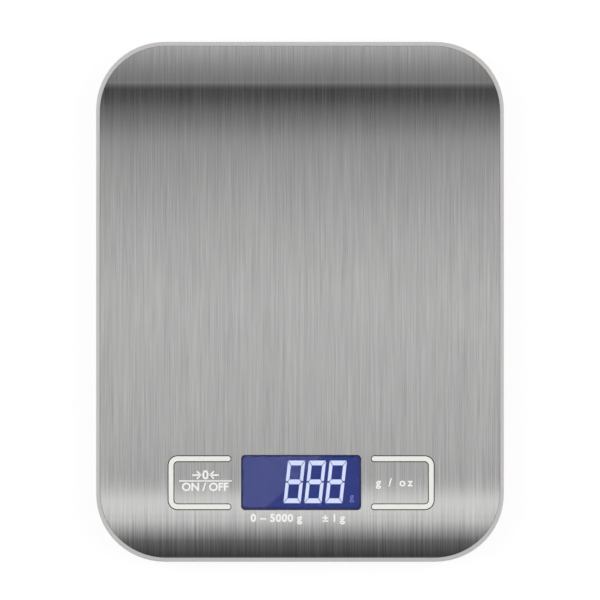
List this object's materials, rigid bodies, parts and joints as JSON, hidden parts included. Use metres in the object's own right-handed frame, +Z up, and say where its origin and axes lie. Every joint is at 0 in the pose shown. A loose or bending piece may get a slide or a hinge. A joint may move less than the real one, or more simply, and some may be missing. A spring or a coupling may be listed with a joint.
{
  "type": "digital gram scale",
  "caption": "Slim digital scale with a brushed steel platform curved down at both ends, two sprung keys beside a blue display, a grey case and sprung feet.",
  "frame": {"origin": "on the table under the middle of the scale", "axes": "+Z up, +Y away from the user (the keys and the display are at -Y), +X to the user's right"},
  "size_m": [0.18, 0.23, 0.016],
  "materials": {
    "brushed_steel": "fine straight brushing from front to back",
    "abs_grey": "light grey moulded ABS, satin",
    "seal_white": "off-white silicone rubber, satin",
    "lens_acrylic": "clear acrylic with a blue cast, polished",
    "lcd_glass": "blue negative liquid crystal glass",
    "backlight_acrylic": "milky light guide",
    "white_abs": "white moulded ABS",
    "foam_tape": "double-sided adhesive sheet",
    "zebra_rubber": "striped elastomer connector",
    "circuit_board": "green solder mask on glass epoxy",
    "chip_epoxy": "black moulded epoxy",
    "ceramic": "ceramic capacitor body",
    "gauge_film": "polyimide strain gauge film",
    "spring_steel": "stamped spring steel, nickel-plated",
    "plated_steel": "nickel-plated steel",
    "zinc_screw": "zinc-plated steel",
    "black_nylon": "black moulded nylon",
    "foot_rubber": "soft black rubber, matt",
    "battery_can": "printed film sleeve on a steel can",
    "wire_red": "PVC insulation",
    "wire_black": "PVC insulation"
  },
  "bodies": {
    "casing": {"platform_plate": "brushed_steel", "plate_tape": "foam_tape", "top_shell": "abs_grey", "bottom_shell": "abs_grey", "power_button_seal": "seal_white", "power_switch_body": "black_nylon", "unit_button_seal": "seal_white", "unit_switch_body": "black_nylon", "display_lens": "lens_acrylic", "lens_gasket": "foam_tape", "lcd_front_glass": "lcd_glass", "lcd_rear_glass": "lcd_glass", "backlight_panel": "backlight_acrylic", "backlight_led": "backlight_acrylic", "lcd_holder": "white_abs", "zebra_strip": "zebra_rubber", "main_board": "circuit_board", "adc_chip": "chip_epoxy", "controller_chip": "chip_epoxy", "crystal_can": "plated_steel", "board_capacitors": "ceramic", "load_cell_front_left": "spring_steel", "load_cell_front_right": "spring_steel", "load_cell_rear_left": "spring_steel", "load_cell_rear_right": "spring_steel", "strain_gauges": "gauge_film", "battery_front": "battery_can", "battery_rear": "battery_can", "bridge_contact": "plated_steel", "plus_contact": "plated_steel", "minus_contact": "plated_steel", "battery_springs": "plated_steel", "cell_wires_front_left": "wire_red", "cell_wires_front_right": "wire_red", "cell_wires_rear_left": "wire_red", "cell_wires_rear_right": "wire_red", "battery_wires": "wire_black", "case_screws": "zinc_screw", "board_screws": "zinc_screw"},
    "power_key": {"power_button": "brushed_steel", "power_button_actuator": "abs_grey"},
    "power_plunger": {"power_switch_plunger": "black_nylon"},
    "unit_key": {"unit_button": "brushed_steel", "unit_button_actuator": "abs_grey"},
    "unit_plunger": {"unit_switch_plunger": "black_nylon"},
    "battery_door": {"battery_door": "abs_grey"},
    "door_latch": {"door_latch": "abs_grey"},
    "foot_front_left": {"foot_cup_front_left": "black_nylon", "foot_pad_front_left": "foot_rubber"},
    "foot_front_right": {"foot_cup_front_right": "black_nylon", "foot_pad_front_right": "foot_rubber"},
    "foot_rear_left": {"foot_cup_rear_left": "black_nylon", "foot_pad_rear_left": "foot_rubber"},
    "foot_rear_right": {"foot_cup_rear_right": "black_nylon", "foot_pad_rear_right": "foot_rubber"}
  },
  "joints": [
    {"name": "power_key_press", "type": "hinge", "parent": "casing", "child": "power_key", "pos_m": [-0.0317, -0.0798, 0.0155], "axis": [0, -1, 0], "range_deg": [0, 1.15], "stiffness_Nm_per_rad": 1.5},
    {"name": "power_plunger_travel", "type": "slide", "parent": "casing", "child": "power_plunger", "axis": [0, 0, -1], "range_m": [0, 0.00025]},
    {"name": "unit_key_press", "type": "hinge", "parent": "casing", "child": "unit_key", "pos_m": [0.0327, -0.0798, 0.0155], "axis": [0, 1, 0], "range_deg": [0, 1.15], "stiffness_Nm_per_rad": 1.5},
    {"name": "unit_plunger_travel", "type": "slide", "parent": "casing", "child": "unit_plunger", "axis": [0, 0, -1], "range_m": [0, 0.00025]},
    {"name": "battery_door_swing", "type": "hinge", "parent": "casing", "child": "battery_door", "pos_m": [0, 0.0134, 0.0022], "axis": [1, 0, 0], "range_deg": [0, 70]},
    {"name": "door_latch_squeeze", "type": "hinge", "parent": "battery_door", "child": "door_latch", "pos_m": [0, -0.01385, 0.009], "axis": [1, 0, 0], "range_deg": [0, 12], "stiffness_Nm_per_rad": 0.15},
    {"name": "foot_travel_front_left", "type": "slide", "parent": "casing", "child": "foot_front_left", "axis": [0, 0, 1], "range_m": [0, 0.00025], "stiffness_N_per_m": 49000, "deforming": ["load_cell_front_left"]},
    {"name": "foot_travel_front_right", "type": "slide", "parent": "casing", "child": "foot_front_right", "axis": [0, 0, 1], "range_m": [0, 0.00025], "stiffness_N_per_m": 49000, "deforming": ["load_cell_front_right"]},
    {"name": "foot_travel_rear_left", "type": "slide", "parent": "casing", "child": "foot_rear_left", "axis": [0, 0, 1], "range_m": [0, 0.00025], "stiffness_N_per_m": 49000, "deforming": ["load_cell_rear_left"]},
    {"name": "foot_travel_rear_right", "type": "slide", "parent": "casing", "child": "foot_rear_right", "axis": [0, 0, 1], "range_m": [0, 0.00025], "stiffness_N_per_m": 49000, "deforming": ["load_cell_rear_right"]}
  ],
  "couplings": [
    {"joint": "power_plunger_travel", "follows": "power_key_press", "m_per_rad": 0.01185},
    {"joint": "unit_plunger_travel", "follows": "unit_key_press", "m_per_rad": 0.01185}
  ]
}
